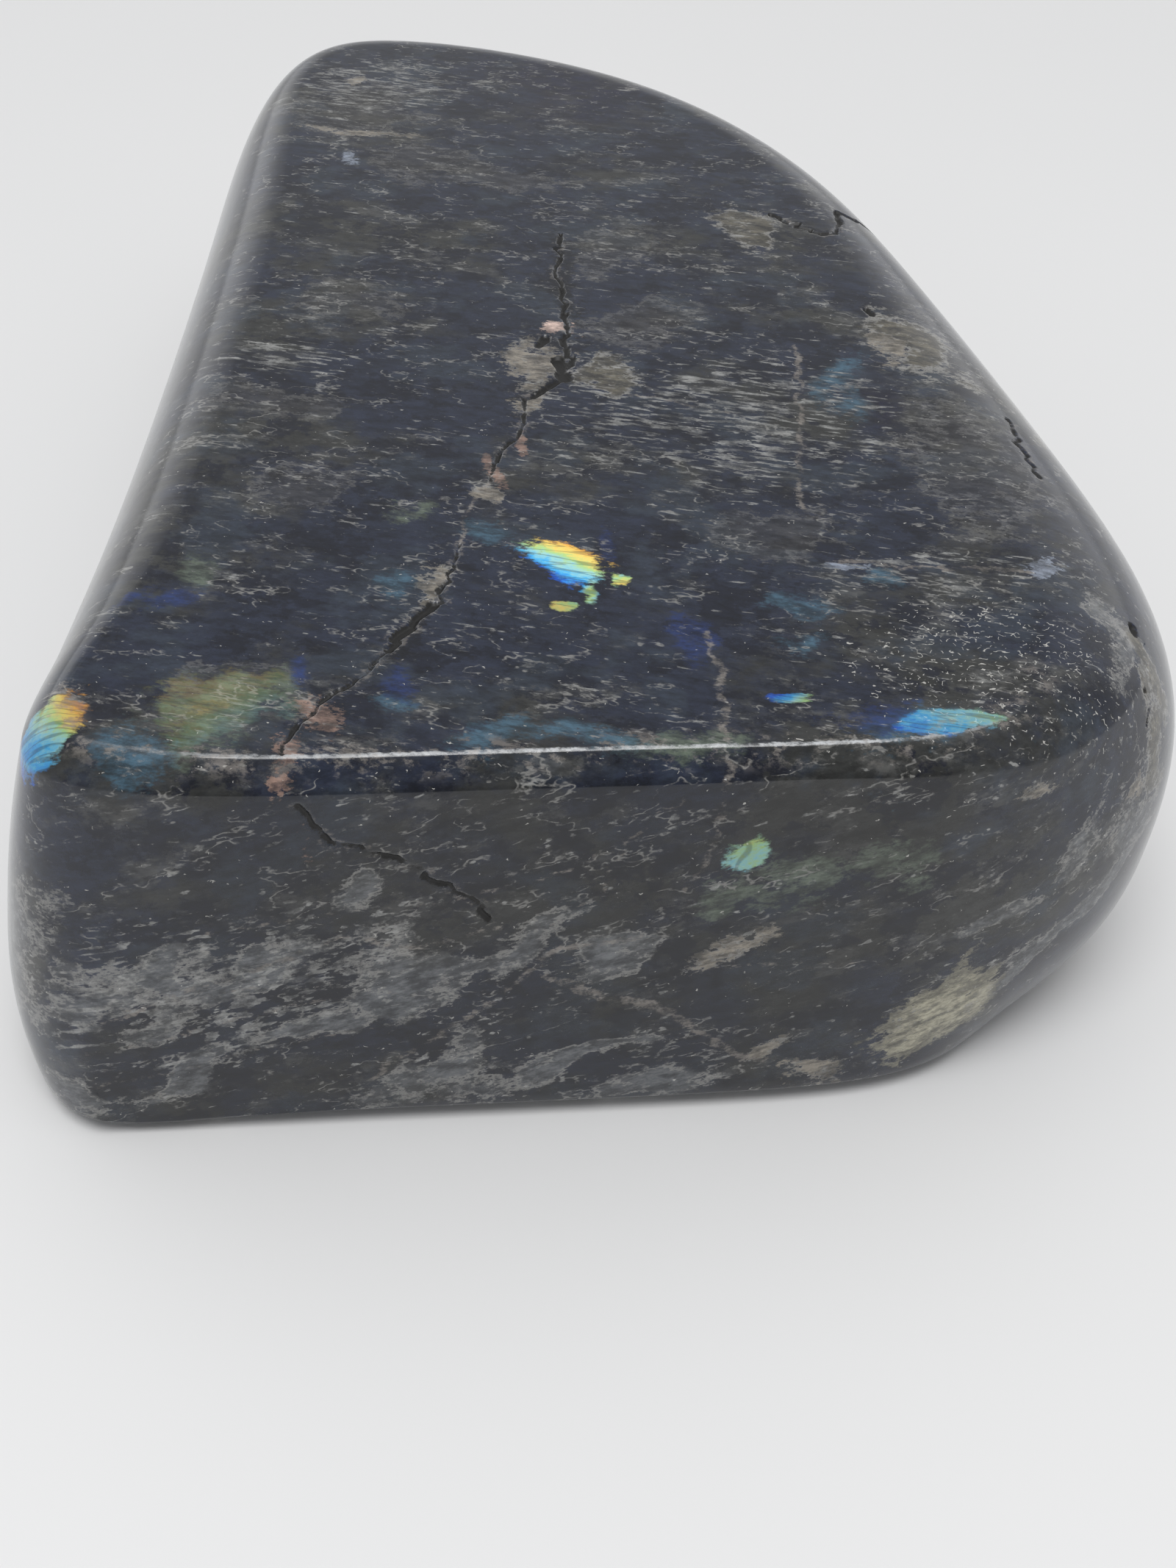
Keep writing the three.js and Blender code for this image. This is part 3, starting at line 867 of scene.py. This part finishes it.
    # The pale line along the ridge is partly wear and partly a painted highlight.
    worn_and_highlight = (n.attribute("ridge") + ragged * 0.5).step(0.28, 0.04) * n.attribute("ridge wear")
    colour = n.mix(worn_and_highlight * rag.step(0.38, 0.57), colour, WORN_AND_HIGHLIGHT)
    chalky = n.attribute("ridge").step(3.4, 0.6) * (rag + blots * 0.6).step(0.80, 0.92)
    colour = n.mix(chalky * 0.6, colour, n.dimmed(SEAM, mottled))
    rim = (abs(crack - 0.4) + ragged).step(0.4, 0.05) * rag.step(0.5, 0.62)
    colour = n.mix(rim * 0.45, colour, n.dimmed(SEAM, mottled))
    open_crack = (crack + ragged * 0.5 + (rag - 0.5) * 1.5).step(0.24, 0.0)
    colour = n.mix(open_crack, colour, CRACK_BLACK)

    rough = 0.11 + 0.2 * glint_flecks + 0.25 * worn_and_highlight + 0.4 * open_crack + 0.05 * dashes
    relief = n.add("ShaderNodeBump", {}, {
        "Strength": 0.35, "Distance": 0.06 * MM, "Height": streaks})
    n.surface("ShaderNodeBsdfPrincipled", {
        "Base Color": colour, "Roughness": rough, "Normal": relief, "IOR": 1.52})
    return material


# Camera: place and what it looks at, in the row frame
CAMERA_PLACE = Vector((-10.26, -241.25, 197.29))
CAMERA_TARGET = Vector((-0.08, -72.65, 26.79))
CAMERA_ROLL = 0.33
FOCAL_PIXELS = 2600
PICTURE_HEIGHT = 2133
SENSOR = 36.0
CLIP_START = 0.01


def set_camera():
    data = bpy.data.cameras.new("camera")
    data.sensor_width = SENSOR
    data.lens = SENSOR * FOCAL_PIXELS / PICTURE_HEIGHT
    data.clip_start = CLIP_START
    camera = bpy.data.objects.new("camera", data)
    aim = (CAMERA_TARGET - CAMERA_PLACE).to_track_quat("-Z", "Y")
    turn = aim @ Quaternion((0, 0, 1), math.radians(CAMERA_ROLL))
    camera.matrix_world = Matrix.LocRotScale(CAMERA_PLACE * MM, turn, None)
    bpy.context.scene.collection.objects.link(camera)
    bpy.context.scene.camera = camera


FLOOR_SIZE = 5.0  # metres
FLOOR_DROP = 0.1  # millimetres below the stone
FLOOR_DIM, FLOOR_PALE = (0.79, 0.79, 0.79), (0.81, 0.81, 0.81)


def lay_floor():
    mesh = bpy.data.meshes.new("floor")
    half = FLOOR_SIZE / 2
    z = -FLOOR_DROP * MM
    corners = [(-half, -half, z), (half, -half, z), (half, half, z), (-half, half, z)]
    mesh.from_pydata(corners, [], [(0, 1, 2, 3)])
    floor = bpy.data.objects.new("floor", mesh)
    bpy.context.scene.collection.objects.link(floor)
    material = bpy.data.materials.new("pale card")
    material.use_nodes = True
    n = Nodes(material.node_tree)
    cloud = n.noise(n.add("ShaderNodeTexCoord", {}, {}, 3), 0.12, 2.0)
    colour = n.mix(cloud, FLOOR_DIM, FLOOR_PALE)
    n.surface("ShaderNodeBsdfPrincipled", {"Base Color": colour, "Roughness": 0.6})
    mesh.materials.append(material)


ROOM_WHITE = (0.985, 0.99, 1.0, 1)

# Brighter walls behind the stone, on its right and on its left: direction and brightness
GLOWS = (((0.62, 0.77, 0.14), 0.4), ((-0.62, 0.77, 0.14), 0.6))

# The soft box, in metres, watts and degrees
BOX_SIZE = 0.8
BOX_POWER = 11.5
BOX_PLACE = (-0.05, -0.52, 1.45)
BOX_TILT = 18


def light_studio():
    """A pale room, dimmer on the camera's side, under one soft overhead box."""
    world = bpy.data.worlds.new("studio")
    world.use_nodes = True
    bpy.context.scene.world = world
    n = Nodes(world.node_tree)
    direction = n.add("ShaderNodeTexCoord", {}, {}, 0)
    to_camera = CAMERA_PLACE - CAMERA_TARGET
    to_camera.normalize()
    facing = n.vector("DOT_PRODUCT", direction, tuple(to_camera), output=1)
    up = n.add("ShaderNodeSeparateXYZ", {}, {0: direction}, 2)
    sky = 0.46 + 0.78 * up.step(0.74, 0.95) + 0.20 * up.step(0.35, 0.05)
    strength = sky - 0.20 * facing.step(0.70, 0.95)
    for towards, brightness in GLOWS:
        glow = n.vector("DOT_PRODUCT", direction, towards, output=1)
        strength = strength + brightness * glow.step(0.84, 0.99)
    values = {"Color": ROOM_WHITE, "Strength": strength}
    n.surface("ShaderNodeBackground", values, "ShaderNodeOutputWorld")

    data = bpy.data.lights.new("overhead box", "AREA")
    data.shape = "DISK"
    data.size = BOX_SIZE
    data.energy = BOX_POWER
    box = bpy.data.objects.new("overhead box", data)
    box.location = BOX_PLACE
    box.rotation_euler = (-math.radians(BOX_TILT), 0, 0)
    bpy.context.scene.collection.objects.link(box)


set_camera()
light_studio()
lay_floor()
stone = make_stone()
stone.data.materials.append(stone_finish())
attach(stone, "root")
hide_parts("stone")
bpy.context.scene.view_settings.view_transform = "Standard"
